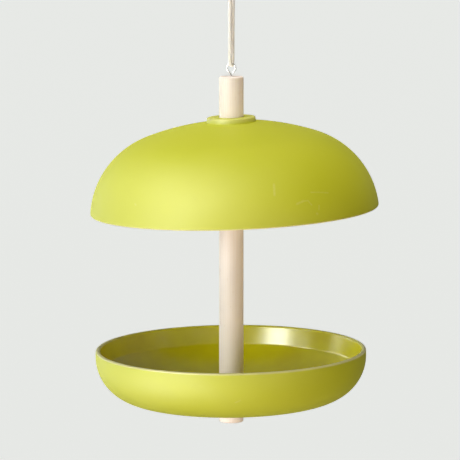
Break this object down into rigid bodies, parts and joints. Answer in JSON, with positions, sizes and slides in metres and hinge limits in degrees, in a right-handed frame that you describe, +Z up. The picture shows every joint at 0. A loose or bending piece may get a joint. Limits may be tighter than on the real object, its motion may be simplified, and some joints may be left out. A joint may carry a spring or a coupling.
{
  "type": "hanging bird feeder",
  "caption": "Hanging bird feeder: a wooden post through a domed roof and a shallow round seed bowl, hung by a screw eye on a doubled cotton cord with a knotted loop.",
  "frame": {"origin": "inside top of the cord's loop, where a hook bears", "axes": "+Z up along the post, -Y to the front, where the screw eye's ring faces, +X to the right"},
  "size_m": [0.2349, 0.235, 0.3988],
  "materials": {
    "lime_composite": "satin outside, glossier inside",
    "pale_wood": "bare, sanded",
    "zinc_steel": "zinc plated",
    "bright_wire": "bright plated",
    "cotton_cord": "braided cotton"
  },
  "bodies": {
    "hanger": {"hanging_cord": "cotton_cord", "cord_loop": "cotton_cord", "cord_knot": "cotton_cord"},
    "post": {"post": "pale_wood", "screw_eye": "bright_wire", "roof_pin": "zinc_steel", "bowl_pin": "zinc_steel"},
    "roof_ring": {"roof_washer": "zinc_steel"},
    "roof": {"roof": "lime_composite"},
    "bowl_ring": {"bowl_washer": "zinc_steel"},
    "bowl": {"bowl": "lime_composite"}
  },
  "joints": [
    {"name": "feeder_swing", "type": "hinge", "parent": "hanger", "child": "post", "pos_m": [0, 0, -0.104], "axis": [0, 1, 0], "range_deg": [-60, 60]},
    {"name": "roof_turn", "type": "hinge", "parent": "post", "child": "roof_ring", "pos_m": [0, 0, -0.152], "axis": [0, 0, 1], "continuous": true},
    {"name": "roof_lift", "type": "slide", "parent": "roof_ring", "child": "roof", "axis": [0, 0, 1], "range_m": [0, 0.036]},
    {"name": "bowl_turn", "type": "hinge", "parent": "post", "child": "bowl_ring", "pos_m": [0, 0, -0.383], "axis": [0, 0, 1], "continuous": true},
    {"name": "bowl_lift", "type": "slide", "parent": "bowl_ring", "child": "bowl", "axis": [0, 0, 1], "range_m": [0, 0.1]}
  ]
}
